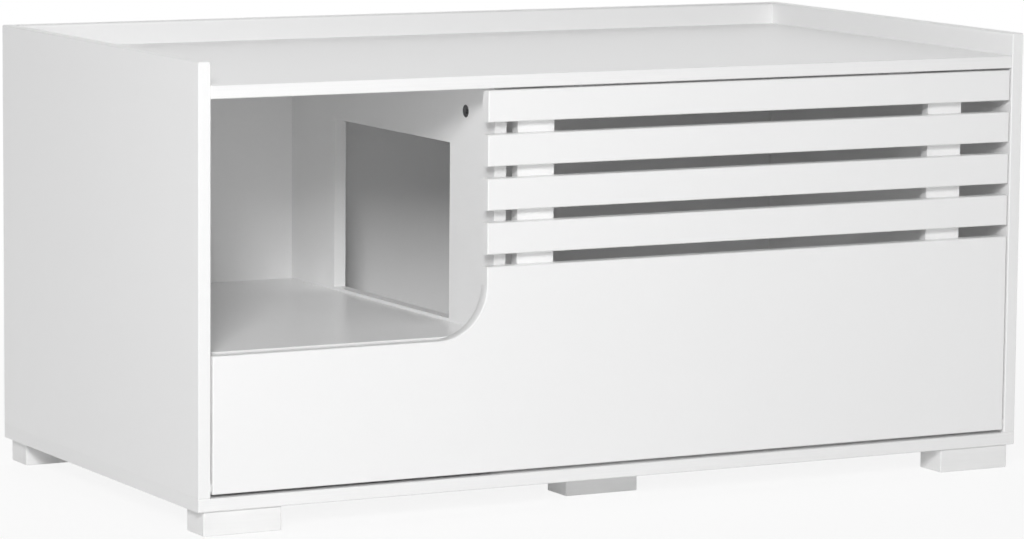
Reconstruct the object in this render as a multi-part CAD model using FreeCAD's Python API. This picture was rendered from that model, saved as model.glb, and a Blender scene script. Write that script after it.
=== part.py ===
import FreeCAD
import Part
import math
import os

# Cat litter box cabinet of 15 mm boards on block feet. An open nook at the left leads through a doorway
# in the divider to the litter compartment at the right. One L-shaped front flap with four slats swings
# down on two pivot pins, and closes both the litter compartment and the store under the nook floor.
#
# Millimetres. X runs to the right, Y to the back and Z up. The origin is on the floor under the centre.

Vector = FreeCAD.Vector
RIGHTWARD = Vector(1, 0, 0)
LEFTWARD = Vector(-1, 0, 0)
BACKWARD = Vector(0, 1, 0)
FORWARD = Vector(0, -1, 0)
UPWARD = Vector(0, 0, 1)
DOWNWARD = Vector(0, 0, -1)

# Driving dimensions: carcass
WIDTH = 1080.0
DEPTH = 566.0
BOARD = 15.0
FOOT_HEIGHT = 28.0
CARCASS_HEIGHT = 498.0
GUARD_RISE = 26.5  # the side and back panels stand this far above the top panel
GUARD_ROUND = 3.0
ARRIS = 1.0  # the boards' edges are eased by this much

# Driving dimensions: nook and doorway
LITTER_WIDTH = 674.5  # from the divider to the right side panel
NOOK_FLOOR_RISE = 175.0  # from the base panel's underside to the nook floor's upper face
DOORWAY_WIDTH = 302.0
DOORWAY_HEIGHT = 204.5
DOORWAY_CENTRE_Y = -3.0
DOORWAY_SILL = 3.5

# Driving dimensions: flap
FLAP_SIDE_GAP = 2.5
FLAP_TOP_GAP = 2.5
FLAP_BOTTOM_GAP = 4.0
FLAP_SWING_GAP = 4.0  # behind the flap, for its turning lower edge
SLAT_COUNT = 4
SLAT_HEIGHT = 36.0
SLAT_GAP = 14.0
SLATS_PAST_DIVIDER = 18.0  # the slats reach this far past the divider's nook face
LEG_DROP = 2.0  # the flap's low left part ends this far under the nook floor's upper face
FLAP_INNER_RADIUS = 60.0
BATTEN_WIDTH = 47.0
BATTEN_OVERLAP = 90.0  # battens reach this far down behind the lower board
LEFT_BATTEN_OFFSET = 12.5  # from the divider's litter face
RIGHT_BATTEN_OFFSET = 62.0  # from the right side panel

# Driving dimensions: feet
FOOT_WIDTH = 95.0
FOOT_DEPTH = 45.0
FOOT_SIDE_INSET = 8.0
FOOT_END_INSET = 4.0
MIDDLE_FOOT_INSET = 56.0

# Driving dimensions: fittings
SCREW_SIDES = 8
DOWEL_SIDES = 12
CAM_SIDES = 16
CAM_RADIUS = 7.5
CAM_DEPTH = 12.5
CAM_FROM_EDGE = 34.0
CAM_FROM_CENTRE = 192.0  # fore and aft
CAM_SLOT_DEPTH = 2.0
BOLT_RADIUS = 3.5
BOLT_IN_FACE = 11.0
DOWEL_RADIUS = 4.0
DOWEL_IN_FACE = 11.0
DOWEL_IN_EDGE = 19.0
PIVOT_RADIUS = 3.0
PIVOT_IN_FLAP = 25.0
PIVOT_IN_BUSH = 10.0
PIVOT_CLEARANCE = 0.05
BUSH_RADIUS = 5.0
BUSH_DEPTH = 11.0
BUSH_FLANGE_RADIUS = 7.0
BUSH_FLANGE = 1.5
CATCH_WIDTH = 46.0
CATCH_BODY_WIDTH = 24.0
CATCH_DEPTH = 16.0
CATCH_HEIGHT = 14.0
CATCH_EAR = 2.5
CATCH_AIR_GAP = 0.3
CATCH_OFFSET = 40.0  # from the batten beside it to the catch's centre
MAGNET_WIDTH = 18.0
MAGNET_DEPTH = 12.0
MAGNET_HEIGHT = 6.0
MAGNET_PROUD = 0.5
STRIKE_WIDTH = 32.0
STRIKE_HEIGHT = 13.0
STRIKE_THICKNESS = 1.0
STRIKE_DROP = 1.0  # its centre is this far under the magnet's
STRIKE_CORNER = 2.0

# Places
LEFT = -WIDTH / 2
RIGHT = WIDTH / 2
FRONT = -DEPTH / 2
BACK = DEPTH / 2
INNER_LEFT = LEFT + BOARD
INNER_RIGHT = RIGHT - BOARD
INNER_BACK = BACK - BOARD
BASE_TOP = FOOT_HEIGHT + BOARD
GUARD_TOP = FOOT_HEIGHT + CARCASS_HEIGHT
TOP_UPPER = GUARD_TOP - GUARD_RISE
TOP_UNDER = TOP_UPPER - BOARD
DIVIDER_RIGHT = INNER_RIGHT - LITTER_WIDTH
DIVIDER_LEFT = DIVIDER_RIGHT - BOARD
DIVIDER_MID = DIVIDER_RIGHT - BOARD / 2
NOOK_FLOOR_TOP = FOOT_HEIGHT + NOOK_FLOOR_RISE
NOOK_FLOOR_UNDER = NOOK_FLOOR_TOP - BOARD
FLAP_LEFT = INNER_LEFT + FLAP_SIDE_GAP
FLAP_RIGHT = INNER_RIGHT - FLAP_SIDE_GAP
FLAP_BOTTOM = BASE_TOP + FLAP_BOTTOM_GAP
FLAP_TOP = TOP_UNDER - FLAP_TOP_GAP
FLAP_BACK = FRONT + BOARD
INNER_FRONT = FLAP_BACK + FLAP_SWING_GAP
SLAT_PITCH = SLAT_HEIGHT + SLAT_GAP
SLATS_LEFT = DIVIDER_LEFT - SLATS_PAST_DIVIDER
LOWER_BOARD_TOP = FLAP_TOP - SLAT_COUNT * SLAT_PITCH
LEG_TOP = NOOK_FLOOR_TOP - LEG_DROP
BATTEN_LEFTS = {
    "left": DIVIDER_RIGHT + LEFT_BATTEN_OFFSET,
    "right": INNER_RIGHT - RIGHT_BATTEN_OFFSET - BATTEN_WIDTH,
}
BATTEN_BACK = FLAP_BACK + BOARD
PIVOT_Y = FRONT + BOARD / 2
PIVOT_Z = FLAP_BOTTOM + BOARD / 2
CATCH_FRONT = FLAP_BACK + STRIKE_THICKNESS + CATCH_AIR_GAP
CATCH_CENTRES = {
    "left": BATTEN_LEFTS["left"] + BATTEN_WIDTH + CATCH_OFFSET,
    "right": BATTEN_LEFTS["right"] - CATCH_OFFSET,
}


def block(x_range, y_range, z_range):
    """A square-edged block between the given limits."""
    low = Vector(x_range[0], y_range[0], z_range[0])
    high = Vector(x_range[1], y_range[1], z_range[1])
    size = high - low
    return Part.makeBox(size.x, size.y, size.z, low)


def rod(radius, start, direction, length):
    return Part.makeCylinder(radius, length, start, direction)


def faceted_rod(start, direction, sides, stations):
    """A small turned form with flat sides. Each station is a distance from start and a radius there."""
    turn = FreeCAD.Rotation(UPWARD, direction)
    rings = []
    for distance, radius in stations:
        ring = []
        for step in range(sides):
            angle = 2 * math.pi * step / sides
            corner = Vector(radius * math.cos(angle), radius * math.sin(angle), distance)
            ring.append(start + turn.multVec(corner))
        rings.append(ring)
    outlines = [rings[0], rings[-1]]
    for near, far in zip(rings, rings[1:]):
        for step in range(sides):
            after = (step + 1) % sides
            outlines.append([near[step], near[after], far[after], far[step]])
    faces = [Part.Face(Part.makePolygon(outline + outline[:1])) for outline in outlines]
    return Part.Solid(Part.makeShell(faces))


def round_edges(shape, radius, wanted):
    """Rounds the edges for which wanted(edge) is true."""
    return shape.makeFillet(radius, [edge for edge in shape.Edges if wanted(edge)])


def ease_edges(shape, wanted, width=ARRIS):
    """Bevels the edges for which wanted(edge) is true."""
    return shape.makeChamfer(width, [edge for edge in shape.Edges if wanted(edge)])


def lies_at(edge, y=None, z=None, x=None):
    """True where every end of the edge has the given coordinates."""
    for vertex in edge.Vertexes:
        for place, value in ((vertex.X, x), (vertex.Y, y), (vertex.Z, z)):
            if value is not None and abs(place - value) > 0.01:
                return False
    return True


def screw(head, direction, length, radius):
    """A countersunk screw. head is the middle of its flat face and direction is the way it drives."""
    return faceted_rod(head, direction, SCREW_SIDES, [(0, 2 * radius), (radius, radius), (length, radius)])


# Fasteners


def cam_joint(mouth, inward, towards):
    """A cam lock sunk in a board's face at mouth, and its bolt, which crosses the joint towards a face."""
    body = faceted_rod(mouth, inward, CAM_SIDES, [(0, CAM_RADIUS), (CAM_DEPTH, CAM_RADIUS)])
    middle = mouth + inward * (BOARD / 2)
    bolt_length = CAM_FROM_EDGE + BOLT_IN_FACE
    bolt = faceted_rod(middle, towards, SCREW_SIDES, [(0, BOLT_RADIUS), (bolt_length, BOLT_RADIUS)])
    slot_size = CAM_RADIUS
    slot = Part.makeBox(slot_size, slot_size / 5, CAM_SLOT_DEPTH)
    slot.translate(Vector(-slot_size / 2, -slot_size / 10, 0))
    slot.Placement = FreeCAD.Placement(mouth, FreeCAD.Rotation(UPWARD, inward)).multiply(slot.Placement)
    return {"cam": body.cut([bolt, slot]), "pocket": body, "bolt": bolt}


def cam_joints():
    """Two cam joints, fore and aft, for each board joint that is drawn up tight."""
    joints = []
    for y in (-CAM_FROM_CENTRE, CAM_FROM_CENTRE):
        joints.append(cam_joint(Vector(DIVIDER_LEFT, y, TOP_UNDER - CAM_FROM_EDGE), RIGHTWARD, UPWARD))
        joints.append(cam_joint(Vector(DIVIDER_LEFT, y, BASE_TOP + CAM_FROM_EDGE), RIGHTWARD, DOWNWARD))
        joints.append(cam_joint(Vector(INNER_LEFT, y, BASE_TOP + CAM_FROM_EDGE), LEFTWARD, DOWNWARD))
        joints.append(cam_joint(Vector(INNER_RIGHT, y, BASE_TOP + CAM_FROM_EDGE), RIGHTWARD, DOWNWARD))
        joints.append(cam_joint(Vector(INNER_LEFT + CAM_FROM_EDGE, y, TOP_UNDER), UPWARD, LEFTWARD))
        joints.append(cam_joint(Vector(INNER_RIGHT - CAM_FROM_EDGE, y, TOP_UNDER), UPWARD, RIGHTWARD))
    return joints


def dowel(face, towards_face):
    """A dowel across a butt joint. face is a point on the drilled face and the dowel ends inside it."""
    start = face - towards_face * DOWEL_IN_EDGE
    length = DOWEL_IN_EDGE + DOWEL_IN_FACE
    return faceted_rod(start, towards_face, DOWEL_SIDES, [(0, DOWEL_RADIUS), (length, DOWEL_RADIUS)])


def dowels():
    side_mid = BOARD / 2
    pins = [
        dowel(Vector(DIVIDER_MID, 0, TOP_UNDER), UPWARD),
        dowel(Vector(DIVIDER_MID, 0, BASE_TOP), DOWNWARD),
        dowel(Vector(LEFT + side_mid, 0, BASE_TOP), DOWNWARD),
        dowel(Vector(RIGHT - side_mid, 0, BASE_TOP), DOWNWARD),
        dowel(Vector(INNER_LEFT, 0, TOP_UPPER - side_mid), LEFTWARD),
        dowel(Vector(INNER_RIGHT, 0, TOP_UPPER - side_mid), RIGHTWARD),
    ]
    for y in (-CAM_FROM_CENTRE, CAM_FROM_CENTRE):
        pins.append(dowel(Vector(INNER_LEFT, y, NOOK_FLOOR_TOP - side_mid), LEFTWARD))
        pins.append(dowel(Vector(DIVIDER_LEFT, y, NOOK_FLOOR_TOP - side_mid), RIGHTWARD))
    for z in (BASE_TOP + CARCASS_HEIGHT / 4, TOP_UNDER - CARCASS_HEIGHT / 4):
        pins.append(dowel(Vector(INNER_LEFT, BACK - side_mid, z), LEFTWARD))
        pins.append(dowel(Vector(INNER_RIGHT, BACK - side_mid, z), RIGHTWARD))
    return pins


BACK_SCREW_LENGTH = 45.0
BACK_SCREW_RADIUS = 2.5


def back_screws():
    """Screws through the back panel into the boards that meet it, and up through the base into it."""
    heads = []
    for x in (-WIDTH / 3, -WIDTH / 9, WIDTH / 9, WIDTH / 3):
        heads.append((Vector(x, BACK, TOP_UPPER - BOARD / 2), FORWARD))
    for share in (0.25, 0.75):
        x = DIVIDER_LEFT + (INNER_LEFT - DIVIDER_LEFT) * share
        heads.append((Vector(x, BACK, NOOK_FLOOR_TOP - BOARD / 2), FORWARD))
        z = BASE_TOP + (TOP_UNDER - BASE_TOP) * share
        heads.append((Vector(DIVIDER_MID, BACK, z), FORWARD))
    for x in (-WIDTH / 4, WIDTH / 4):
        heads.append((Vector(x, BACK - BOARD / 2, FOOT_HEIGHT), UPWARD))
    return [screw(head, way, BACK_SCREW_LENGTH, BACK_SCREW_RADIUS) for head, way in heads]


# Feet: name, centre X, centre Y


def foot_places():
    corner_x = WIDTH / 2 - FOOT_SIDE_INSET - FOOT_WIDTH / 2
    corner_y = DEPTH / 2 - FOOT_END_INSET - FOOT_DEPTH / 2
    middle_y = DEPTH / 2 - MIDDLE_FOOT_INSET - FOOT_DEPTH / 2
    return {
        "front_left_foot": (-corner_x, -corner_y),
        "front_middle_foot": (0, -middle_y),
        "front_right_foot": (corner_x, -corner_y),
        "rear_left_foot": (-corner_x, corner_y),
        "rear_middle_foot": (0, middle_y),
        "rear_right_foot": (corner_x, corner_y),
    }


FOOT_SCREW_SPACING = 50.0
FOOT_SCREW_RADIUS = 2.0
FOOT_SCREW_IN_BASE = 11.0
FOOT_BORE_RADIUS = 5.0
FOOT_BORE_DEPTH = 6.0


def foot_screws():
    length = FOOT_HEIGHT - FOOT_BORE_DEPTH + FOOT_SCREW_IN_BASE
    screws = []
    for x, y in foot_places().values():
        for side in (-0.5, 0.5):
            head = Vector(x + side * FOOT_SCREW_SPACING, y, FOOT_BORE_DEPTH)
            screws.append(screw(head, UPWARD, length, FOOT_SCREW_RADIUS))
    return screws


def foot(x, y, screws):
    """A block foot with two counterbored screws from below."""
    body = block(
        (x - FOOT_WIDTH / 2, x + FOOT_WIDTH / 2), (y - FOOT_DEPTH / 2, y + FOOT_DEPTH / 2), (0, FOOT_HEIGHT)
    )
    body = ease_edges(body, lambda edge: not lies_at(edge, z=FOOT_HEIGHT))
    stations = [(0, FOOT_BORE_RADIUS), (FOOT_BORE_DEPTH, FOOT_BORE_RADIUS)]
    bores = []
    for side in (-0.5, 0.5):
        mouth = Vector(x + side * FOOT_SCREW_SPACING, y, 0)
        bores.append(faceted_rod(mouth, UPWARD, DOWEL_SIDES, stations))
    return body.cut(bores + screws)


# Carcass boards


def base_panel():
    body = block((LEFT, RIGHT), (FRONT, BACK), (FOOT_HEIGHT, BASE_TOP))
    return ease_edges(body, lambda edge: lies_at(edge, y=FRONT))


def side_panel(inner, outer):
    """A side panel. Its top edge is a guard, so it is rounded over, most on the inside."""
    body = block(sorted((inner, outer)), (FRONT, BACK), (BASE_TOP, GUARD_TOP))
    body = round_edges(body, GUARD_ROUND, lambda edge: lies_at(edge, x=inner, z=GUARD_TOP))
    return ease_edges(body, lambda edge: lies_at(edge, x=outer, z=GUARD_TOP) or lies_at(edge, y=FRONT))


def top_panel():
    body = block((INNER_LEFT, INNER_RIGHT), (FRONT, INNER_BACK), (TOP_UNDER, TOP_UPPER))
    return ease_edges(body, lambda edge: lies_at(edge, y=FRONT))


def back_panel():
    """The back panel's top edge is the rear guard."""
    body = block((INNER_LEFT, INNER_RIGHT), (INNER_BACK, BACK), (BASE_TOP, GUARD_TOP))
    body = round_edges(body, GUARD_ROUND, lambda edge: lies_at(edge, y=INNER_BACK, z=GUARD_TOP))
    return ease_edges(body, lambda edge: lies_at(edge, y=BACK, z=GUARD_TOP))


def divider_panel():
    body = block((DIVIDER_LEFT, DIVIDER_RIGHT), (INNER_FRONT, INNER_BACK), (BASE_TOP, TOP_UNDER))
    sill = NOOK_FLOOR_TOP + DOORWAY_SILL
    doorway = block(
        (DIVIDER_LEFT - BOARD, DIVIDER_RIGHT + BOARD),
        (DOORWAY_CENTRE_Y - DOORWAY_WIDTH / 2, DOORWAY_CENTRE_Y + DOORWAY_WIDTH / 2),
        (sill, sill + DOORWAY_HEIGHT),
    )
    return body.cut(doorway)


def nook_floor():
    body = block((INNER_LEFT, DIVIDER_LEFT), (INNER_FRONT, INNER_BACK), (NOOK_FLOOR_UNDER, NOOK_FLOOR_TOP))
    return ease_edges(body, lambda edge: lies_at(edge, y=INNER_FRONT, z=NOOK_FLOOR_TOP))


# Flap


def flap_board():
    """The L-shaped lower board of the flap, with a large radius in its inner corner."""
    radius = FLAP_INNER_RADIUS
    centre = Vector(SLATS_LEFT - radius, FLAP_BACK, LEG_TOP + radius)
    half_turn = radius * 0.5**0.5
    corners = [
        Vector(FLAP_LEFT, FLAP_BACK, LEG_TOP),
        Vector(FLAP_LEFT, FLAP_BACK, FLAP_BOTTOM),
        Vector(FLAP_RIGHT, FLAP_BACK, FLAP_BOTTOM),
        Vector(FLAP_RIGHT, FLAP_BACK, LOWER_BOARD_TOP),
        Vector(SLATS_LEFT, FLAP_BACK, LOWER_BOARD_TOP),
        Vector(SLATS_LEFT, FLAP_BACK, centre.z),
    ]
    arc_end = Vector(centre.x, FLAP_BACK, LEG_TOP)
    arc_middle = centre + Vector(half_turn, 0, -half_turn)
    edges = [Part.LineSegment(a, b).toShape() for a, b in zip(corners, corners[1:])]
    edges.append(Part.Arc(corners[-1], arc_middle, arc_end).toShape())
    edges.append(Part.LineSegment(arc_end, corners[0]).toShape())
    outline = Part.Face(Part.Wire(edges))
    body = outline.extrude(FORWARD * BOARD)
    return ease_edges(body, lambda edge: lies_at(edge, y=FRONT))


def slat(number):
    """A slat, counted from the top."""
    top = FLAP_TOP - (number - 1) * SLAT_PITCH
    body = block((SLATS_LEFT, FLAP_RIGHT), (FRONT, FLAP_BACK), (top - SLAT_HEIGHT, top))
    return ease_edges(body, lambda edge: lies_at(edge, y=FRONT))


def batten(side):
    left = BATTEN_LEFTS[side]
    bottom = LOWER_BOARD_TOP - BATTEN_OVERLAP
    body = block((left, left + BATTEN_WIDTH), (FLAP_BACK, BATTEN_BACK), (bottom, FLAP_TOP))
    return ease_edges(body, lambda edge: lies_at(edge, y=BATTEN_BACK))


BATTEN_SCREW_LENGTH = 26.0
BATTEN_SCREW_RADIUS = 2.0


def batten_screws():
    """One screw through each batten into each slat, and two into the lower board."""
    heights = [FLAP_TOP - SLAT_HEIGHT / 2 - row * SLAT_PITCH for row in range(SLAT_COUNT)]
    heights += [LOWER_BOARD_TOP - BATTEN_OVERLAP * share for share in (0.25, 0.75)]
    screws = []
    for left in BATTEN_LEFTS.values():
        for z in heights:
            head = Vector(left + BATTEN_WIDTH / 2, BATTEN_BACK, z)
            screws.append(screw(head, FORWARD, BATTEN_SCREW_LENGTH, BATTEN_SCREW_RADIUS))
    return screws


# Flap pivots. outward points from the flap to the side panel


def pivot_pin(flap_end, outward):
    start = Vector(flap_end, PIVOT_Y, PIVOT_Z) - outward * PIVOT_IN_FLAP
    return rod(PIVOT_RADIUS, start, outward, PIVOT_IN_FLAP + FLAP_SIDE_GAP + PIVOT_IN_BUSH)


def bush_blank(inner_face, outward):
    """The flanged bush without its bore, which is also the shape sunk in the side panel."""
    seat = Vector(inner_face, PIVOT_Y, PIVOT_Z)
    barrel = rod(BUSH_RADIUS, seat, outward, BUSH_DEPTH)
    flange = rod(BUSH_FLANGE_RADIUS, seat - outward * BUSH_FLANGE, outward, BUSH_FLANGE)
    return barrel.fuse(flange).removeSplitter()


def pivot_bush(inner_face, outward):
    start = Vector(inner_face, PIVOT_Y, PIVOT_Z) - outward * BUSH_FLANGE
    bore = rod(PIVOT_RADIUS + PIVOT_CLEARANCE, start, outward, BUSH_FLANGE + BUSH_DEPTH)
    return bush_blank(inner_face, outward).cut(bore)


# Magnetic catches


CATCH_SCREW_RADIUS = 1.5
CATCH_SCREW_LENGTH = 12.0


def magnet(centre_x):
    middle_z = TOP_UNDER - CATCH_HEIGHT / 2
    return block(
        (centre_x - MAGNET_WIDTH / 2, centre_x + MAGNET_WIDTH / 2),
        (CATCH_FRONT, CATCH_FRONT + MAGNET_DEPTH),
        (middle_z - MAGNET_HEIGHT / 2, middle_z + MAGNET_HEIGHT / 2),
    )


def catch_screws():
    screws = []
    for centre_x in CATCH_CENTRES.values():
        for side in (-0.5, 0.5):
            x = centre_x + side * (CATCH_WIDTH + CATCH_BODY_WIDTH) / 2
            head = Vector(x, CATCH_FRONT + CATCH_DEPTH / 2, TOP_UNDER - CATCH_EAR)
            screws.append(screw(head, UPWARD, CATCH_SCREW_LENGTH, CATCH_SCREW_RADIUS))
    return screws


def catch_housing(centre_x, screws):
    """A catch body that holds the magnet, with an ear each side under the top panel."""
    front = CATCH_FRONT + MAGNET_PROUD
    back = CATCH_FRONT + CATCH_DEPTH
    body = block(
        (centre_x - CATCH_BODY_WIDTH / 2, centre_x + CATCH_BODY_WIDTH / 2),
        (front, back),
        (TOP_UNDER - CATCH_HEIGHT, TOP_UNDER),
    )
    body = ease_edges(body, lambda edge: lies_at(edge, z=TOP_UNDER - CATCH_HEIGHT))
    ears = block(
        (centre_x - CATCH_WIDTH / 2, centre_x + CATCH_WIDTH / 2),
        (front, back),
        (TOP_UNDER - CATCH_EAR, TOP_UNDER),
    )
    return body.fuse(ears).removeSplitter().cut([magnet(centre_x)] + screws)


def strike_screws():
    middle_z = TOP_UNDER - CATCH_HEIGHT / 2
    face = FLAP_BACK + STRIKE_THICKNESS
    return [
        screw(Vector(x, face, middle_z), FORWARD, CATCH_SCREW_LENGTH, CATCH_SCREW_RADIUS)
        for x in CATCH_CENTRES.values()
    ]


def strike_plate(centre_x, screws):
    middle_z = TOP_UNDER - CATCH_HEIGHT / 2 - STRIKE_DROP
    body = block(
        (centre_x - STRIKE_WIDTH / 2, centre_x + STRIKE_WIDTH / 2),
        (FLAP_BACK, FLAP_BACK + STRIKE_THICKNESS),
        (middle_z - STRIKE_HEIGHT / 2, middle_z + STRIKE_HEIGHT / 2),
    )
    body = ease_edges(body, lambda edge: abs(edge.Length - STRIKE_THICKNESS) < 0.01, STRIKE_CORNER)
    return body.cut(screws)


# Assembly


def build():
    joints = cam_joints()
    cams = [joint["cam"] for joint in joints]
    bolts = [joint["bolt"] for joint in joints]
    pockets = [joint["pocket"] for joint in joints]
    pins = dowels()
    rear_screws = back_screws()
    screws_in_feet = foot_screws()
    screws_in_battens = batten_screws()
    screws_in_catches = catch_screws()
    screws_in_strikes = strike_screws()
    drilled = pockets + bolts + pins + rear_screws
    left_seat = bush_blank(INNER_LEFT, LEFTWARD)
    right_seat = bush_blank(INNER_RIGHT, RIGHTWARD)

    nodes = {
        "base_panel": base_panel().cut(drilled + screws_in_feet),
        "left_side_panel": side_panel(INNER_LEFT, LEFT).cut(drilled + [left_seat]),
        "right_side_panel": side_panel(INNER_RIGHT, RIGHT).cut(drilled + [right_seat]),
        "top_panel": top_panel().cut(drilled + screws_in_catches),
        "back_panel": back_panel().cut(drilled),
        "divider_panel": divider_panel().cut(drilled),
        "nook_floor": nook_floor().cut(drilled),
        "cam_locks": Part.makeCompound(cams),
        "cam_bolts": Part.makeCompound(bolts),
        "dowels": Part.makeCompound(pins),
        "back_screws": Part.makeCompound(rear_screws),
        "foot_screws": Part.makeCompound(screws_in_feet),
        "left_pivot_bush": pivot_bush(INNER_LEFT, LEFTWARD),
        "right_pivot_bush": pivot_bush(INNER_RIGHT, RIGHTWARD),
        "catch_magnets": Part.makeCompound([magnet(x) for x in CATCH_CENTRES.values()]),
        "catch_screws": Part.makeCompound(screws_in_catches),
        "flap_board": flap_board().cut(
            screws_in_battens + [pivot_pin(FLAP_LEFT, LEFTWARD), pivot_pin(FLAP_RIGHT, RIGHTWARD)]
        ),
        "batten_screws": Part.makeCompound(screws_in_battens),
        "left_pivot_pin": pivot_pin(FLAP_LEFT, LEFTWARD),
        "right_pivot_pin": pivot_pin(FLAP_RIGHT, RIGHTWARD),
        "strike_screws": Part.makeCompound(screws_in_strikes),
    }
    for name, (x, y) in foot_places().items():
        nodes[name] = foot(x, y, screws_in_feet)
    for number in range(1, SLAT_COUNT + 1):
        nodes[f"slat_{number}"] = slat(number).cut(screws_in_battens + screws_in_strikes)
    for side, centre_x in CATCH_CENTRES.items():
        nodes[f"{side}_batten"] = batten(side).cut(screws_in_battens)
        nodes[f"{side}_catch_housing"] = catch_housing(centre_x, screws_in_catches)
        nodes[f"{side}_strike_plate"] = strike_plate(centre_x, screws_in_strikes)
    return nodes


os.makedirs("parts", exist_ok=True)
for name, shape in build().items():
    shape.exportStep(f"parts/{name}.step")
    print(name, len(shape.Solids), round(shape.Volume / 1000), "cm3")
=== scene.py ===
import math

import bmesh
import bpy
from mathutils import Matrix, Vector


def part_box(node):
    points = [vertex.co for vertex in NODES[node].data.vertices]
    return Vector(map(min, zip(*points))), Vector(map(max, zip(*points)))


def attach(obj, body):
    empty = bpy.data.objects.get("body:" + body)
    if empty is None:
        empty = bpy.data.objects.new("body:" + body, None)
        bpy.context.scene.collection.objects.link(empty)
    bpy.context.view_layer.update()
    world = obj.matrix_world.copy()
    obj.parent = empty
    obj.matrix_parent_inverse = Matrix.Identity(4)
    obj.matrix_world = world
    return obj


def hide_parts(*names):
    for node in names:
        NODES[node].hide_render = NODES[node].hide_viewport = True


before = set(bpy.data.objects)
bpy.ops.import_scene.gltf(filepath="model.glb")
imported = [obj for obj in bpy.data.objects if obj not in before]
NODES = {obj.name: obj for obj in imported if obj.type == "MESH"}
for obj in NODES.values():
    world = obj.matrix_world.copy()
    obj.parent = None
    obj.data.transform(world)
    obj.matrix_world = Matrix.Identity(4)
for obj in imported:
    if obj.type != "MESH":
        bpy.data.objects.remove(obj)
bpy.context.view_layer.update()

# Metres, in the part's own frame: X to the right, Y to the back, Z up.
X, Y, Z = Vector((1, 0, 0)), Vector((0, 1, 0)), Vector((0, 0, 1))
MM = 0.001


# Shader building


# The values between which a noise mostly lies.
NOISE_LOW, NOISE_HIGH = 0.3, 0.7


class Shader:
    """The node tree of a material or world, with short calls for the nodes used here."""

    def __init__(self, owner, output="OutputMaterial"):
        owner.use_nodes = True
        self.owner = owner
        self.tree = owner.node_tree
        self.tree.nodes.clear()
        self.output = self.tree.nodes.new("ShaderNode" + output)

    def node(self, kind, inputs=(), **settings):
        made = self.tree.nodes.new("ShaderNode" + kind)
        for key, value in settings.items():
            setattr(made, key, value)
        for key, value in dict(inputs).items():
            self.put(made.inputs[key], value)
        return made

    def put(self, socket, value):
        if isinstance(value, bpy.types.NodeSocket):
            self.tree.links.new(value, socket)
        else:
            socket.default_value = value

    def math(self, operation, *values):
        made = self.tree.nodes.new("ShaderNodeMath")
        made.operation = operation
        for socket, value in zip(made.inputs, values):
            self.put(socket, value)
        return made.outputs[0]

    def place(self, stretch=(1, 1, 1)):
        """Coordinates fixed to the piece, in metres."""
        spot = self.node("TexCoord").outputs["Object"]
        if stretch == (1, 1, 1):
            return spot
        return self.node("Mapping", {"Vector": spot, "Scale": stretch}).outputs[0]

    def noise(self, scale, detail=2.0, stretch=(1, 1, 1), rough=0.5):
        settings = {"Vector": self.place(stretch), "Scale": scale, "Detail": detail, "Roughness": rough}
        return self.node("TexNoise", settings).outputs["Fac"]

    def map_range(self, value, start, end, low, high):
        settings = {"Value": value, "From Min": start, "From Max": end, "To Min": low, "To Max": high}
        return self.node("MapRange", settings).outputs["Result"]

    def spread(self, noise, low, high):
        """Spreads a noise over low to high."""
        return self.map_range(noise, NOISE_LOW, NOISE_HIGH, low, high)

    def ramp(self, value, start, end):
        """0 at start and 1 at end."""
        return self.map_range(value, start, end, 0.0, 1.0)

    def blend(self, factor, first, second):
        made = self.node("Mix", data_type="RGBA")
        self.put(made.inputs["Factor"], factor)
        self.put(made.inputs["A"], first)
        self.put(made.inputs["B"], second)
        return made.outputs["Result"]

    def tint(self, colour, amount):
        """The colour multiplied by a value."""
        grey = self.node("CombineXYZ", {"X": amount, "Y": amount, "Z": amount}).outputs[0]
        return self.node("VectorMath", {0: colour[:3], 1: grey}, operation="MULTIPLY").outputs[0]

    def bump(self, height, distance, strength=1.0, normal=None):
        settings = {"Height": height, "Distance": distance, "Strength": strength}
        if normal is not None:
            settings["Normal"] = normal
        return self.node("Bump", settings).outputs[0]

    def backdrop_share(self):
        """1 for what the camera sees, directly or in gloss and glass."""
        path = self.node("LightPath").outputs
        seen = self.math("MAXIMUM", path["Is Camera Ray"], path["Is Glossy Ray"])
        return self.math("MAXIMUM", seen, path["Is Transmission Ray"])

    def finish(self, surface):
        self.tree.links.new(surface, self.output.inputs["Surface"])
        return self.owner

    def principled(self, settings):
        return self.finish(self.node("BsdfPrincipled", settings).outputs[0])


def new_shader(name):
    return Shader(bpy.data.materials.new(name))


BOARD_WHITE = (0.92, 0.92, 0.92, 1)
BAND_WHITE = (0.91, 0.91, 0.909, 1)
SEAM_GREY = (0.68, 0.68, 0.675, 1)
SEAM_TINT = 0.35
BAND_THICKNESS = 1.0 * MM
SEAM_WIDTH = 0.12 * MM
# The boards stay above a roughness of 0.28, around which small dark specks showed.
BOARD_ROUGHNESS, BOARD_SWING = 0.3, 0.012
BAND_ROUGHER, SEAM_ROUGHER = 0.06, 0.2
COATING_IOR = 1.5


def board_seam(s, spot, low, high, across):
    """1 on the fine line around the two large faces, where they meet the edge band."""
    reach = None
    for axis in range(3):
        if axis != across:
            from_low = s.math("SUBTRACT", spot[axis], low[axis])
            from_high = s.math("SUBTRACT", high[axis], spot[axis])
            nearer = s.math("MINIMUM", from_low, from_high)
            reach = nearer if reach is None else s.math("MINIMUM", reach, nearer)
    off_seam = s.math("ABSOLUTE", s.math("SUBTRACT", reach, BAND_THICKNESS))
    return s.math("SUBTRACT", 1.0, s.ramp(off_seam, SEAM_WIDTH / 2, SEAM_WIDTH))


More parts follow.
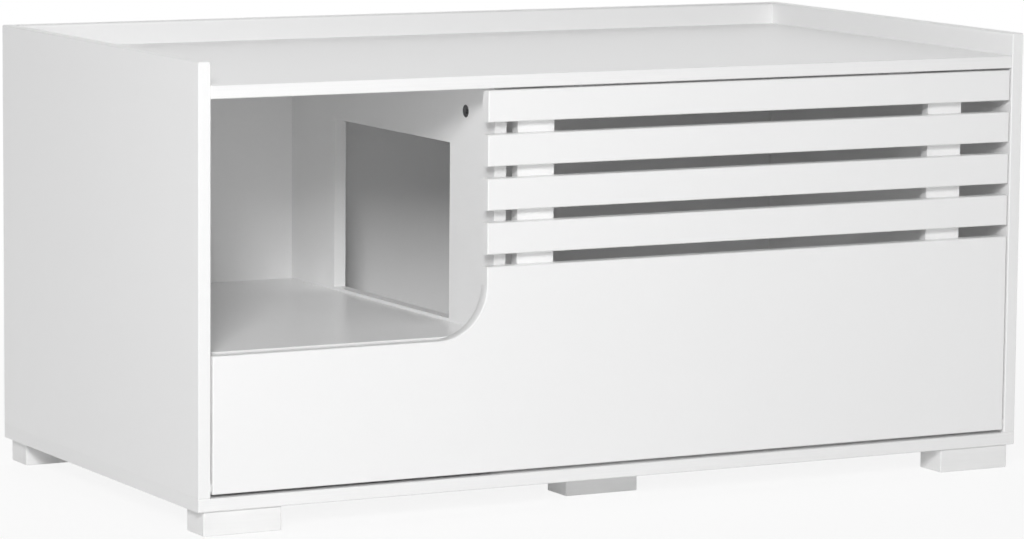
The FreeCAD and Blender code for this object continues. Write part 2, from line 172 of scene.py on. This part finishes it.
def board_material(node, across):
    """White faced board. across is the axis number of its thickness; the other faces are edge banded."""
    s = new_shader("white_board_" + node)
    low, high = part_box(node)
    spot = s.node("SeparateXYZ", {0: s.place()}).outputs
    facing = s.node("SeparateXYZ", {0: s.node("TexCoord").outputs["Normal"]}).outputs
    band = s.math("LESS_THAN", s.math("ABSOLUTE", facing[across]), 0.5)
    off_band = s.math("SUBTRACT", 1.0, band)
    seam = s.math("MULTIPLY", board_seam(s, spot, low, high, across), off_band)

    cloud = s.spread(s.noise(3.0, 4.0), 0.996, 1.003)
    fleck = s.spread(s.noise(420.0, 1.0), 0.997, 1.002)
    face = s.tint(BOARD_WHITE, s.math("MULTIPLY", cloud, fleck))
    # The band's fine lines run along the board.
    stretch = [900.0, 900.0, 900.0]
    longest = max((high[axis] - low[axis], axis) for axis in range(3))[1]
    stretch[longest] = 14.0
    drawn = s.noise(1.0, 2.0, tuple(stretch))
    banding = s.tint(BAND_WHITE, s.spread(drawn, 0.985, 1.01))
    colour = s.blend(band, face, banding)
    colour = s.blend(s.math("MULTIPLY", seam, SEAM_TINT), colour, SEAM_GREY)

    shine = s.spread(s.noise(70.0, 3.0), BOARD_ROUGHNESS - BOARD_SWING, BOARD_ROUGHNESS + BOARD_SWING)
    shine = s.math("ADD", shine, s.math("MULTIPLY", band, BAND_ROUGHER))
    shine = s.math("ADD", shine, s.math("MULTIPLY", seam, SEAM_ROUGHER))

    peel = s.math("MULTIPLY", s.noise(1150.0, 2.0), off_band)
    skin = s.bump(s.noise(160.0, 2.0), 0.01 * MM, 0.25)
    skin = s.bump(s.math("ADD", peel, s.math("MULTIPLY", drawn, band)), 0.012 * MM, 0.3, skin)
    skin = s.bump(s.math("SUBTRACT", 1.0, seam), 0.05 * MM, 0.5, skin)
    return s.principled({"Base Color": colour, "Roughness": shine, "Normal": skin, "IOR": COATING_IOR})


BLOCK_WHITE = (0.89, 0.89, 0.888, 1)
PLASTIC_WHITE = (0.86, 0.86, 0.855, 1)
BEECH_DARK, BEECH_PALE, BEECH_RAY = (0.62, 0.45, 0.28, 1), (0.78, 0.62, 0.43, 1), (0.5, 0.34, 0.2, 1)
FERRITE_GREY = (0.1, 0.1, 0.108, 1)


def block_material(name):
    """White lacquered wood: roller texture and a faint grain telegraphing through the paint."""
    s = new_shader(name)
    grain = s.noise(1.0, 3.0, (22.0, 420.0, 420.0), 0.6)
    roller = s.noise(700.0, 3.0)
    tone = s.math("MULTIPLY", s.spread(grain, 0.985, 1.008), s.spread(s.noise(30.0), 0.99, 1.006))
    colour = s.tint(BLOCK_WHITE, tone)
    skin = s.bump(grain, 0.06 * MM, 0.35)
    skin = s.bump(roller, 0.04 * MM, 0.4, skin)
    shine = s.spread(roller, 0.4, 0.5)
    return s.principled({"Base Color": colour, "Roughness": shine, "Normal": skin, "IOR": COATING_IOR})


def metal_material(name, colour, roughness, grit, stretch=(1, 1, 1)):
    """Dull metal. grit is the scale of its fine mottling."""
    s = new_shader(name)
    fine = s.noise(grit, 4.0, stretch, 0.65)
    patch = s.noise(160.0, 2.0)
    tone = s.math("MULTIPLY", s.spread(fine, 0.86, 1.1), s.spread(patch, 0.93, 1.05))
    shine = s.spread(fine, roughness - 0.07, roughness + 0.08)
    skin = s.bump(fine, 0.03 * MM, 0.5)
    settings = {"Base Color": s.tint(colour, tone), "Metallic": 1.0, "Roughness": shine, "Normal": skin}
    return s.principled(settings)


def plastic_material(name):
    """White moulded plastic with a fine spark-eroded texture."""
    s = new_shader(name)
    eroded = s.noise(2600.0, 3.0, rough=0.7)
    flow = s.noise(90.0, 2.0)
    colour = s.tint(PLASTIC_WHITE, s.spread(flow, 0.985, 1.01))
    skin = s.bump(eroded, 0.03 * MM, 0.45)
    settings = {
        "Base Color": colour,
        "Roughness": s.spread(eroded, 0.42, 0.54),
        "Normal": skin,
        "Subsurface Weight": 0.05,
        "Subsurface Radius": (0.002, 0.002, 0.002),
        "Subsurface Scale": 0.5,
    }
    return s.principled(settings)


def beech_material(name):
    """Bare beech: dark and pale streaks along the dowel, crossed by short rays."""
    s = new_shader(name)
    streak = s.noise(900.0, 4.0, (1.0, 1.0, 0.12), 0.6)
    ray = s.noise(2300.0, 2.0, (0.3, 1.0, 1.0))
    colour = s.blend(s.ramp(streak, 0.35, 0.68), BEECH_DARK, BEECH_PALE)
    colour = s.blend(s.math("MULTIPLY", s.ramp(ray, 0.58, 0.7), 0.4), colour, BEECH_RAY)
    skin = s.bump(streak, 0.05 * MM, 0.6)
    settings = {"Base Color": colour, "Roughness": s.spread(streak, 0.6, 0.75), "Normal": skin}
    return s.principled(settings)


def ferrite_material(name):
    """Dark sintered ferrite with a gritty surface."""
    s = new_shader(name)
    grit = s.noise(3200.0, 5.0, rough=0.7)
    colour = s.tint(FERRITE_GREY, s.spread(grit, 0.75, 1.3))
    skin = s.bump(grit, 0.05 * MM, 0.6)
    settings = {"Base Color": colour, "Roughness": s.spread(grit, 0.6, 0.8), "Normal": skin}
    return s.principled(settings)


BLOCK = block_material("white_block_paint")
ZINC = metal_material("cast_zinc", (0.2, 0.2, 0.205, 1), 0.5, 1500.0)
STEEL = metal_material("plated_steel", (0.6, 0.6, 0.61, 1), 0.36, 900.0, (1.0, 1.0, 0.3))
PLASTIC = plastic_material("moulded_white_plastic")
BEECH = beech_material("bare_beech")
FERRITE = ferrite_material("sintered_ferrite")


# Boards, blocks and plain fittings that keep their solids


EASE_ANGLE = math.radians(25)
MERGE_DISTANCE = 0.01 * MM


def dress(node, material, ease):
    """Gives a CAD node its material and eases its sharp edges."""
    obj = NODES[node]
    for place in obj.material_slots:
        place.link = "OBJECT"
        place.material = material
    weld = obj.modifiers.new("weld", "WELD")
    weld.merge_threshold = MERGE_DISTANCE
    bevel = obj.modifiers.new("ease", "BEVEL")
    bevel.width = ease
    bevel.segments = 2
    bevel.limit_method = "ANGLE"
    bevel.angle_limit = EASE_ANGLE
    bevel.harden_normals = True
    bevel.use_clamp_overlap = True
    bevel.loop_slide = False
    bevel.miter_outer = "MITER_ARC"


# The axis number of each board's thickness.
ACROSS = {
    "base_panel": 2,
    "left_side_panel": 0,
    "right_side_panel": 0,
    "top_panel": 2,
    "back_panel": 1,
    "divider_panel": 0,
    "nook_floor": 2,
    "flap_board": 1,
    "slat_1": 1,
    "slat_2": 1,
    "slat_3": 1,
    "slat_4": 1,
    "left_batten": 1,
    "right_batten": 1,
}
for node, across in ACROSS.items():
    dress(node, board_material(node, across), 0.3 * MM)

# Material and eased radius by the last word of the node's name.
DRESS_BY_ENDING = {
    "foot": (BLOCK, 0.35 * MM),
    "bush": (PLASTIC, 0.2 * MM),
    "housing": (PLASTIC, 0.25 * MM),
    "pin": (STEEL, 0.3 * MM),
    "plate": (STEEL, 0.12 * MM),
}
for node in NODES:
    ending = node.rsplit("_", 1)[-1]
    if ending in DRESS_BY_ENDING:
        dress(node, *DRESS_BY_ENDING[ending])


# Turned and moulded small pieces


PIECE_EASE_ANGLE = math.radians(35)
# Rings for each turn of a thread.
THREAD_STEPS = 5


def frame_at(origin, axis, towards=None):
    """A matrix whose Z runs along axis and whose X points as near as it can to towards."""
    axis = axis.normalized()
    side = towards if towards is not None else (Z if abs(axis.z) < 0.9 else X)
    side = (side - axis * side.dot(axis)).normalized()
    turn = Matrix((side, axis.cross(side), axis)).transposed().to_4x4()
    return Matrix.Translation(origin) @ turn


def rings(bm, angles, stations, matrix, smooth=True):
    """A closed form of rings. Each station is (height, radius), and radius may be a call of the angle."""
    loops = []
    for height, radius in stations:
        loop = []
        for angle in angles:
            reach = radius(angle) if callable(radius) else radius
            spot = Vector((reach * math.cos(angle), reach * math.sin(angle), height))
            loop.append(bm.verts.new(matrix @ spot))
        loops.append(loop)
    count = len(angles)
    for near, far in zip(loops, loops[1:]):
        for step in range(count):
            after = (step + 1) % count
            face = bm.faces.new((near[step], near[after], far[after], far[step]))
            face.smooth = smooth
    bm.faces.new(list(reversed(loops[0])))
    bm.faces.new(loops[-1])


def even_angles(count):
    return [2 * math.pi * step / count for step in range(count)]


def cross_angles(half_width, arm):
    """Angles that hit every corner of a cross-shaped recess."""
    corner = math.atan2(half_width, arm)
    octant = [0.0, corner, corner + (math.pi / 4 - corner) / 3, corner + (math.pi / 4 - corner) * 2 / 3]
    found = []
    for quarter in range(4):
        start = quarter * math.pi / 2
        found += [start + angle for angle in octant] + [start + math.pi / 4]
        found += [start + math.pi / 2 - angle for angle in reversed(octant[1:])]
    return found


def cross_reach(half_width, arm):
    """How far a cross-shaped outline reaches at an angle."""

    def reach(angle):
        folded = angle % (math.pi / 2)
        folded = min(folded, math.pi / 2 - folded)
        if math.tan(folded) <= half_width / arm + 1e-6:
            return arm / math.cos(folded)
        return half_width / math.sin(folded)

    return reach


def piece(name, bm, material, body, node, ease=None):
    """Makes a piece that rides on a body in place of a CAD node."""
    bmesh.ops.recalc_face_normals(bm, faces=bm.faces)
    mesh = bpy.data.meshes.new(name)
    bm.to_mesh(mesh)
    bm.free()
    obj = bpy.data.objects.new(name, mesh)
    bpy.context.scene.collection.objects.link(obj)
    obj.data.materials.append(material)
    if ease:
        bevel = obj.modifiers.new("ease", "BEVEL")
        bevel.width = ease
        bevel.segments = 2
        bevel.limit_method = "ANGLE"
        bevel.angle_limit = PIECE_EASE_ANGLE
        bevel.harden_normals = True
    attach(obj, body)
    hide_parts(node)
    return obj


def thread_reach(turn, core, crest):
    """The outline of a thread after that many turns, as a call of the angle."""

    def reach(angle):
        phase = (turn - angle / (2 * math.pi)) % 1.0
        sharp = max(0.0, 1.0 - abs(phase - 0.5) * 4.0)
        return core + (crest - core) * sharp

    return reach


def screw_into(bm, head, direction, length, radius, pitch):
    """A countersunk wood screw: crossed recess, cone, plain neck, thread and point."""
    half_width, arm = radius * 0.26, radius * 1.02
    angles = cross_angles(half_width, arm)
    cross = cross_reach(half_width, arm)
    lip = radius * 1.93
    stations = [
        (radius * 1.15, radius * 0.1),
        (radius * 1.0, lambda angle: cross(angle) * 0.5),
        (0.12 * radius, cross),
        (0.02 * radius, lambda angle: cross(angle) * 1.04),
        (0.02 * radius, lip * 0.93),
        (0.1 * radius, lip),
        (0.22 * radius, lip * 0.97),
        (1.0 * radius, radius * 0.96),
        (length * 0.3, radius * 0.9),
    ]
    core, crest = radius * 0.62, radius * 0.93
    thread_start, thread_end = length * 0.33, length * 0.95
    turns = (thread_end - thread_start) / pitch
    steps = int(turns * THREAD_STEPS)
    for step in range(steps + 1):
        turn = turns * step / steps
        # The last turns taper to the point.
        share = min(1.0, (turns - turn) / 2.5 + 0.35)
        stations.append((thread_start + turn * pitch, thread_reach(turn, core * share, crest * share)))
    stations.append((length * 0.995, radius * 0.05))
    rings(bm, angles, stations, frame_at(head, direction))


# Length, radius and pitch of each kind of screw.
BACK_SCREW = (45 * MM, 2.5 * MM, 3.0 * MM)
FOOT_SCREW = (33 * MM, 2.0 * MM, 2.4 * MM)
BATTEN_SCREW = (26 * MM, 2.0 * MM, 2.4 * MM)
CATCH_SCREW = (12 * MM, 1.5 * MM, 1.6 * MM)


def screw_set(name, heads, kind, body, node):
    """heads holds where each screw's head is and which way the screw points."""
    bm = bmesh.new()
    for head, direction in heads:
        screw_into(bm, head, direction, *kind)
    return piece(name, bm, STEEL, body, node)


# Places of the boards

BASE_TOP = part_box("base_panel")[1].z
BASE_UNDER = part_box("base_panel")[0].z
TOP_UNDER, TOP_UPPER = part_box("top_panel")[0].z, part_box("top_panel")[1].z
INNER_LEFT, INNER_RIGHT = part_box("top_panel")[0].x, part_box("top_panel")[1].x
LEFT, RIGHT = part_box("left_side_panel")[0].x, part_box("right_side_panel")[1].x
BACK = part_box("back_panel")[1].y
DIVIDER_LEFT, DIVIDER_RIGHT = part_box("divider_panel")[0].x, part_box("divider_panel")[1].x
DIVIDER_MID = (DIVIDER_LEFT + DIVIDER_RIGHT) / 2
NOOK_FLOOR_MID = (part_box("nook_floor")[0].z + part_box("nook_floor")[1].z) / 2
BOARD = TOP_UPPER - TOP_UNDER
BATTEN_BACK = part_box("left_batten")[1].y
FLAP_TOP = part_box("slat_1")[1].z
CAM_FROM_EDGE = 34 * MM
CAM_FROM_CENTRE = 192 * MM


# Cam locks and their bolts


def cam_places():
    """The middle of each lock's mouth, the way into the board, and the way to the other board."""
    places = []
    for y in (-CAM_FROM_CENTRE, CAM_FROM_CENTRE):
        places.append((Vector((DIVIDER_LEFT, y, TOP_UNDER - CAM_FROM_EDGE)), X, Z))
        places.append((Vector((DIVIDER_LEFT, y, BASE_TOP + CAM_FROM_EDGE)), X, -Z))
        places.append((Vector((INNER_LEFT, y, BASE_TOP + CAM_FROM_EDGE)), -X, -Z))
        places.append((Vector((INNER_RIGHT, y, BASE_TOP + CAM_FROM_EDGE)), X, -Z))
        places.append((Vector((INNER_LEFT + CAM_FROM_EDGE, y, TOP_UNDER)), Z, -X))
        places.append((Vector((INNER_RIGHT - CAM_FROM_EDGE, y, TOP_UNDER)), Z, X))
    return places


CAM_RADIUS = 7.3 * MM
CAM_DEPTH = 12.4 * MM
# The arrow's corners beside the recess, and how far its faces lie under the rim.
ARROW = ((5.6 * MM, 0.0), (4.3 * MM, 1.1 * MM), (4.3 * MM, -1.1 * MM))
ARROW_UPPER, ARROW_LOWER = 0.7 * MM, 1.15 * MM


def cam_into(bm, mouth, inward, towards):
    """A cam lock: rim, sunk face with a crossed recess and an arrow towards the bolt, and a ribbed drum."""
    half_width, arm = 0.95 * MM, 3.7 * MM
    angles = cross_angles(half_width, arm)
    cross = cross_reach(half_width, arm)
    here = frame_at(mouth, inward, towards)
    stations = [
        (5.4 * MM, 0.4 * MM),
        (5.2 * MM, lambda angle: cross(angle) * 0.72),
        (1.3 * MM, cross),
        (1.1 * MM, lambda angle: cross(angle) * 1.05),
        (1.1 * MM, 6.0 * MM),
        (1.0 * MM, 6.2 * MM),
        (0.25 * MM, 6.35 * MM),
        (0.1 * MM, 6.5 * MM),
        (0.1 * MM, 7.05 * MM),
        (0.3 * MM, CAM_RADIUS),
        (1.9 * MM, CAM_RADIUS),
        (2.1 * MM, 6.9 * MM),
        (4.3 * MM, 6.9 * MM),
        (4.5 * MM, 5.6 * MM),
        (9.6 * MM, 5.6 * MM),
        (9.9 * MM, 7.1 * MM),
        (CAM_DEPTH - 0.3 * MM, 7.1 * MM),
        (CAM_DEPTH, 6.7 * MM),
    ]
    rings(bm, angles, stations, here)
    upper = [bm.verts.new(here @ Vector((x, y, ARROW_UPPER))) for x, y in ARROW]
    lower = [bm.verts.new(here @ Vector((x, y, ARROW_LOWER))) for x, y in ARROW]
    bm.faces.new(upper)
    bm.faces.new(list(reversed(lower)))
    for step in range(3):
        after = (step + 1) % 3
        bm.faces.new((upper[step], lower[step], lower[after], upper[after]))


bm = bmesh.new()
for mouth, inward, towards in cam_places():
    cam_into(bm, mouth, inward, towards)
piece("cam_lock_set", bm, ZINC, "cabinet", "cam_locks", 0.12 * MM)

BOLT_IN_FACE = 11 * MM
BOLT_TURNS, BOLT_PITCH = 5, 2.05 * MM
BOLT_CORE, BOLT_CREST = 2.2 * MM, 3.1 * MM

bm = bmesh.new()
for mouth, inward, towards in cam_places():
    # Head, neck, shank and collar, and then the thread in the other board's face.
    stations = [
        (0.2 * MM, 1.2 * MM),
        (0.4 * MM, 2.6 * MM),
        (2.6 * MM, 2.9 * MM),
        (3.2 * MM, 1.9 * MM),
        (6.4 * MM, 1.9 * MM),
        (7.0 * MM, 2.9 * MM),
        (CAM_FROM_EDGE - 3.0 * MM, 2.9 * MM),
        (CAM_FROM_EDGE - 2.6 * MM, 3.15 * MM),
        (CAM_FROM_EDGE - 0.3 * MM, 3.15 * MM),
    ]
    for step in range(BOLT_TURNS * THREAD_STEPS + 1):
        turn = step / THREAD_STEPS
        stations.append((CAM_FROM_EDGE + turn * BOLT_PITCH, thread_reach(turn, BOLT_CORE, BOLT_CREST)))
    stations.append((CAM_FROM_EDGE + BOLT_IN_FACE - 0.1 * MM, 1.2 * MM))
    rings(bm, even_angles(20), stations, frame_at(mouth + inward * (BOARD / 2), towards))
piece("cam_bolt_set", bm, STEEL, "cabinet", "cam_bolts")


# Dowels, fluted and chamfered


def dowel_places():
    """Where each dowel crosses a joint's plane, and the way to its shorter end."""
    side = BOARD / 2
    places = [
        (Vector((DIVIDER_MID, 0, TOP_UNDER)), Z),
        (Vector((DIVIDER_MID, 0, BASE_TOP)), -Z),
        (Vector((LEFT + side, 0, BASE_TOP)), -Z),
        (Vector((RIGHT - side, 0, BASE_TOP)), -Z),
        (Vector((INNER_LEFT, 0, TOP_UPPER - side)), -X),
        (Vector((INNER_RIGHT, 0, TOP_UPPER - side)), X),
    ]
    for y in (-CAM_FROM_CENTRE, CAM_FROM_CENTRE):
        places.append((Vector((INNER_LEFT, y, NOOK_FLOOR_MID)), -X))
        places.append((Vector((DIVIDER_LEFT, y, NOOK_FLOOR_MID)), X))
    quarter = (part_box("back_panel")[1].z - BASE_UNDER) / 4
    for z in (BASE_TOP + quarter, TOP_UNDER - quarter):
        places.append((Vector((INNER_LEFT, BACK - side, z)), -X))
        places.append((Vector((INNER_RIGHT, BACK - side, z)), X))
    return places


DOWEL_RADIUS, DOWEL_END_RADIUS = 3.82 * MM, 2.9 * MM
DOWEL_ANGLES = 48
FLUTE_SHARE = 0.965


def flute(radius):
    """A fluted outline: every second angle lies deeper."""

    def reach(angle):
        return radius * (FLUTE_SHARE if round(angle * DOWEL_ANGLES / (2 * math.pi)) % 2 else 1.0)

    return reach


bm = bmesh.new()
for face, outward in dowel_places():
    stations = [
        (-18.9 * MM, DOWEL_END_RADIUS),
        (-17.8 * MM, flute(DOWEL_RADIUS)),
        (9.8 * MM, flute(DOWEL_RADIUS)),
        (10.9 * MM, DOWEL_END_RADIUS),
    ]
    rings(bm, even_angles(DOWEL_ANGLES), stations, frame_at(face, outward), smooth=False)
piece("dowel_set", bm, BEECH, "cabinet", "dowels")


# Screws

BACK_SCREW_SHARES = (-1 / 3, -1 / 9, 1 / 9, 1 / 3)
QUARTERS = (0.25, 0.75)

width = RIGHT - LEFT
heads = [(Vector((width * share, BACK, TOP_UPPER - BOARD / 2)), -Y) for share in BACK_SCREW_SHARES]
for share in QUARTERS:
    nook_floor_x = DIVIDER_LEFT + (INNER_LEFT - DIVIDER_LEFT) * share
    divider_z = BASE_TOP + (TOP_UNDER - BASE_TOP) * share
    heads.append((Vector((nook_floor_x, BACK, NOOK_FLOOR_MID)), -Y))
    heads.append((Vector((DIVIDER_MID, BACK, divider_z)), -Y))
for x in (-width / 4, width / 4):
    heads.append((Vector((x, BACK - BOARD / 2, BASE_UNDER)), Z))
screw_set("back_screw_set", heads, BACK_SCREW, "cabinet", "back_screws")

FOOT_SCREW_SIDE = 25 * MM
FOOT_COUNTERBORE = 6 * MM
heads = []
for node in NODES:
    if node.endswith("_foot"):
        low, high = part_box(node)
        for side in (-FOOT_SCREW_SIDE, FOOT_SCREW_SIDE):
            head = Vector(((low.x + high.x) / 2 + side, (low.y + high.y) / 2, FOOT_COUNTERBORE))
            heads.append((head, Z))
screw_set("foot_screw_set", heads, FOOT_SCREW, "cabinet", "foot_screws")

SLAT_COUNT, SLAT_PITCH, SLAT_MIDDLE = 4, 50 * MM, 18 * MM
BATTEN_OVERLAP = 90 * MM
heads = []
for node in ("left_batten", "right_batten"):
    low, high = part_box(node)
    heights = [FLAP_TOP - SLAT_MIDDLE - row * SLAT_PITCH for row in range(SLAT_COUNT)]
    heights += [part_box("flap_board")[1].z - BATTEN_OVERLAP * share for share in QUARTERS]
    for z in heights:
        heads.append((Vector(((low.x + high.x) / 2, BATTEN_BACK, z)), -Y))
screw_set("batten_screw_set", heads, BATTEN_SCREW, "flap", "batten_screws")

CATCH_SCREW_SIDE = 17.5 * MM
CATCH_SCREW_FROM_BACK = 8 * MM
CATCH_EAR = 2.5 * MM
CATCH_MIDDLE = TOP_UNDER - 7 * MM
heads = []
for node in ("left_catch_housing", "right_catch_housing"):
    low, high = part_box(node)
    for side in (-CATCH_SCREW_SIDE, CATCH_SCREW_SIDE):
        x = (low.x + high.x) / 2 + side
        heads.append((Vector((x, high.y - CATCH_SCREW_FROM_BACK, TOP_UNDER - CATCH_EAR)), Z))
screw_set("catch_screw_set", heads, CATCH_SCREW, "cabinet", "catch_screws")

heads = []
for node in ("left_strike_plate", "right_strike_plate"):
    low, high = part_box(node)
    heads.append((Vector(((low.x + high.x) / 2, high.y, CATCH_MIDDLE)), -Y))
screw_set("strike_screw_set", heads, CATCH_SCREW, "flap", "strike_screws")


# Catch magnets: a ferrite block between two steel pole plates


def box_into(bm, low, high):
    middle = (Vector(low) + Vector(high)) / 2
    size = Vector(high) - Vector(low)
    matrix = Matrix.Translation(middle) @ Matrix.Diagonal((*size, 1))
    made = bmesh.ops.create_cube(bm, size=1.0, matrix=matrix)
    return {face for vertex in made["verts"] for face in vertex.link_faces}


FERRITE_HALF, FERRITE_FRONT, FERRITE_REAR, FERRITE_HALF_HEIGHT = 8.6 * MM, 0.5 * MM, 11.8 * MM, 1.7 * MM
POLE_HALF, POLE_REAR = 8.9 * MM, 11.9 * MM
# Lower and upper face of each pole plate, from the catch's middle, in millimetres.
POLE_PLATES = ((-2.95, -1.75), (1.75, 2.95))

bm = bmesh.new()
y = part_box("catch_magnets")[0].y
z = CATCH_MIDDLE
for node in ("left_catch_housing", "right_catch_housing"):
    low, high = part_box(node)
    x = (low.x + high.x) / 2
    box_into(
        bm,
        (x - FERRITE_HALF, y + FERRITE_FRONT, z - FERRITE_HALF_HEIGHT),
        (x + FERRITE_HALF, y + FERRITE_REAR, z + FERRITE_HALF_HEIGHT),
    )
    for lower, upper in POLE_PLATES:
        plate = box_into(bm, (x - POLE_HALF, y, z + lower * MM), (x + POLE_HALF, y + POLE_REAR, z + upper * MM))
        for face in plate:
            face.material_index = 1
magnets = piece("catch_magnet_set", bm, FERRITE, "cabinet", "catch_magnets", 0.15 * MM)
magnets.data.materials.append(STEEL)


# Floor, light and camera


# How far the floor is lifted to the backdrop's white near the object. It fades to all of it further off.
FLOOR_LIFT = 0.87
FLOOR_NEAR, FLOOR_FAR = 0.7, 2.2
FLOOR_RADIUS = 30.0
# Just under the feet, so that the two don't share a plane.
FLOOR_DROP = 0.05 * MM

s = new_shader("pale_floor")
from_middle = s.node("VectorMath", {0: s.place()}, operation="LENGTH").outputs["Value"]
fade = s.math("MULTIPLY", s.ramp(from_middle, FLOOR_NEAR, FLOOR_FAR), 1 - FLOOR_LIFT)
lift = s.math("ADD", FLOOR_LIFT, fade)
matt = s.node("BsdfDiffuse", {"Color": (0.9, 0.9, 0.9, 1)}).outputs[0]
glow = s.node("Emission", {"Color": (1, 1, 1, 1), "Strength": 1.0}).outputs[0]
mixed = s.node("MixShader", {0: s.math("MULTIPLY", lift, s.backdrop_share()), 1: matt, 2: glow})
floor_material = s.finish(mixed.outputs[0])

bm = bmesh.new()
bmesh.ops.create_circle(bm, cap_ends=True, segments=96, radius=FLOOR_RADIUS)
mesh = bpy.data.meshes.new("floor")
bm.to_mesh(mesh)
bm.free()
floor = bpy.data.objects.new("floor", mesh)
bpy.context.scene.collection.objects.link(floor)
floor.data.materials.append(floor_material)
floor.location.z = -FLOOR_DROP

# The world's light on the object. What the camera and gloss see of it is white.
AMBIENT = 0.27
s = Shader(bpy.data.worlds.new("studio"), "OutputWorld")
strength = s.map_range(s.backdrop_share(), 0.0, 1.0, AMBIENT, 1.0)
background = s.node("Background", {"Color": (1, 1, 1, 1), "Strength": strength})
bpy.context.scene.world = s.finish(background.outputs[0])


LAMP_AIM = Vector((0, -0.1, 0.26))


def softbox(name, azimuth, elevation, distance, size, power):
    """A soft lamp that far round from the front, in degrees. Gloss mirrors the white room, not the lamps."""
    turn, tilt = math.radians(azimuth), math.radians(elevation)
    away = Vector((math.sin(turn) * math.cos(tilt), -math.cos(turn) * math.cos(tilt), math.sin(tilt)))
    data = bpy.data.lights.new(name, "AREA")
    data.shape = "RECTANGLE"
    data.size, data.size_y = size
    data.energy = power
    obj = bpy.data.objects.new(name, data)
    bpy.context.scene.collection.objects.link(obj)
    obj.location = LAMP_AIM + away * distance
    obj.rotation_euler = (-away).to_track_quat("-Z", "Y").to_euler()
    obj.visible_camera = False
    obj.visible_glossy = False


softbox("key", -36, 22, 4.4, (0.8, 0.8), 102.0)
softbox("fill", -24, 11, 5.0, (3.2, 1.5), 22.0)
softbox("back", 160, 25, 5.0, (3.0, 2.0), 92.0)

# The camera stands off the front left corner, looking slightly down, as solved from the board edges.
AZIMUTH, ELEVATION, ROLL = math.radians(-28.236), math.radians(7.357), math.radians(0.506)
TARGET = Vector((-0.1512, -0.283, 0.27783))
DISTANCE = 5.2616
camera_data = bpy.data.cameras.new("camera")
camera_data.sensor_width = 36.0
camera_data.lens = 163.34
camera_data.clip_start, camera_data.clip_end = 0.1, 100.0
camera = bpy.data.objects.new("camera", camera_data)
bpy.context.scene.collection.objects.link(camera)
away = Vector((math.sin(AZIMUTH), -math.cos(AZIMUTH), 0)) * math.cos(ELEVATION) + Z * math.sin(ELEVATION)
level_right = (-away).cross(Z).normalized()
level_up = level_right.cross(-away)
right = level_right * math.cos(ROLL) + level_up * math.sin(ROLL)
up = level_up * math.cos(ROLL) - level_right * math.sin(ROLL)
turn = Matrix((right, up, away)).transposed().to_4x4()
camera.matrix_world = Matrix.Translation(TARGET + away * DISTANCE) @ turn
bpy.context.scene.camera = camera
bpy.context.scene.view_settings.view_transform = "Standard"
# Light reaches the inside of the cabinet by many diffuse steps.
bpy.context.scene.cycles.max_bounces = 16
bpy.context.scene.cycles.diffuse_bounces = 10
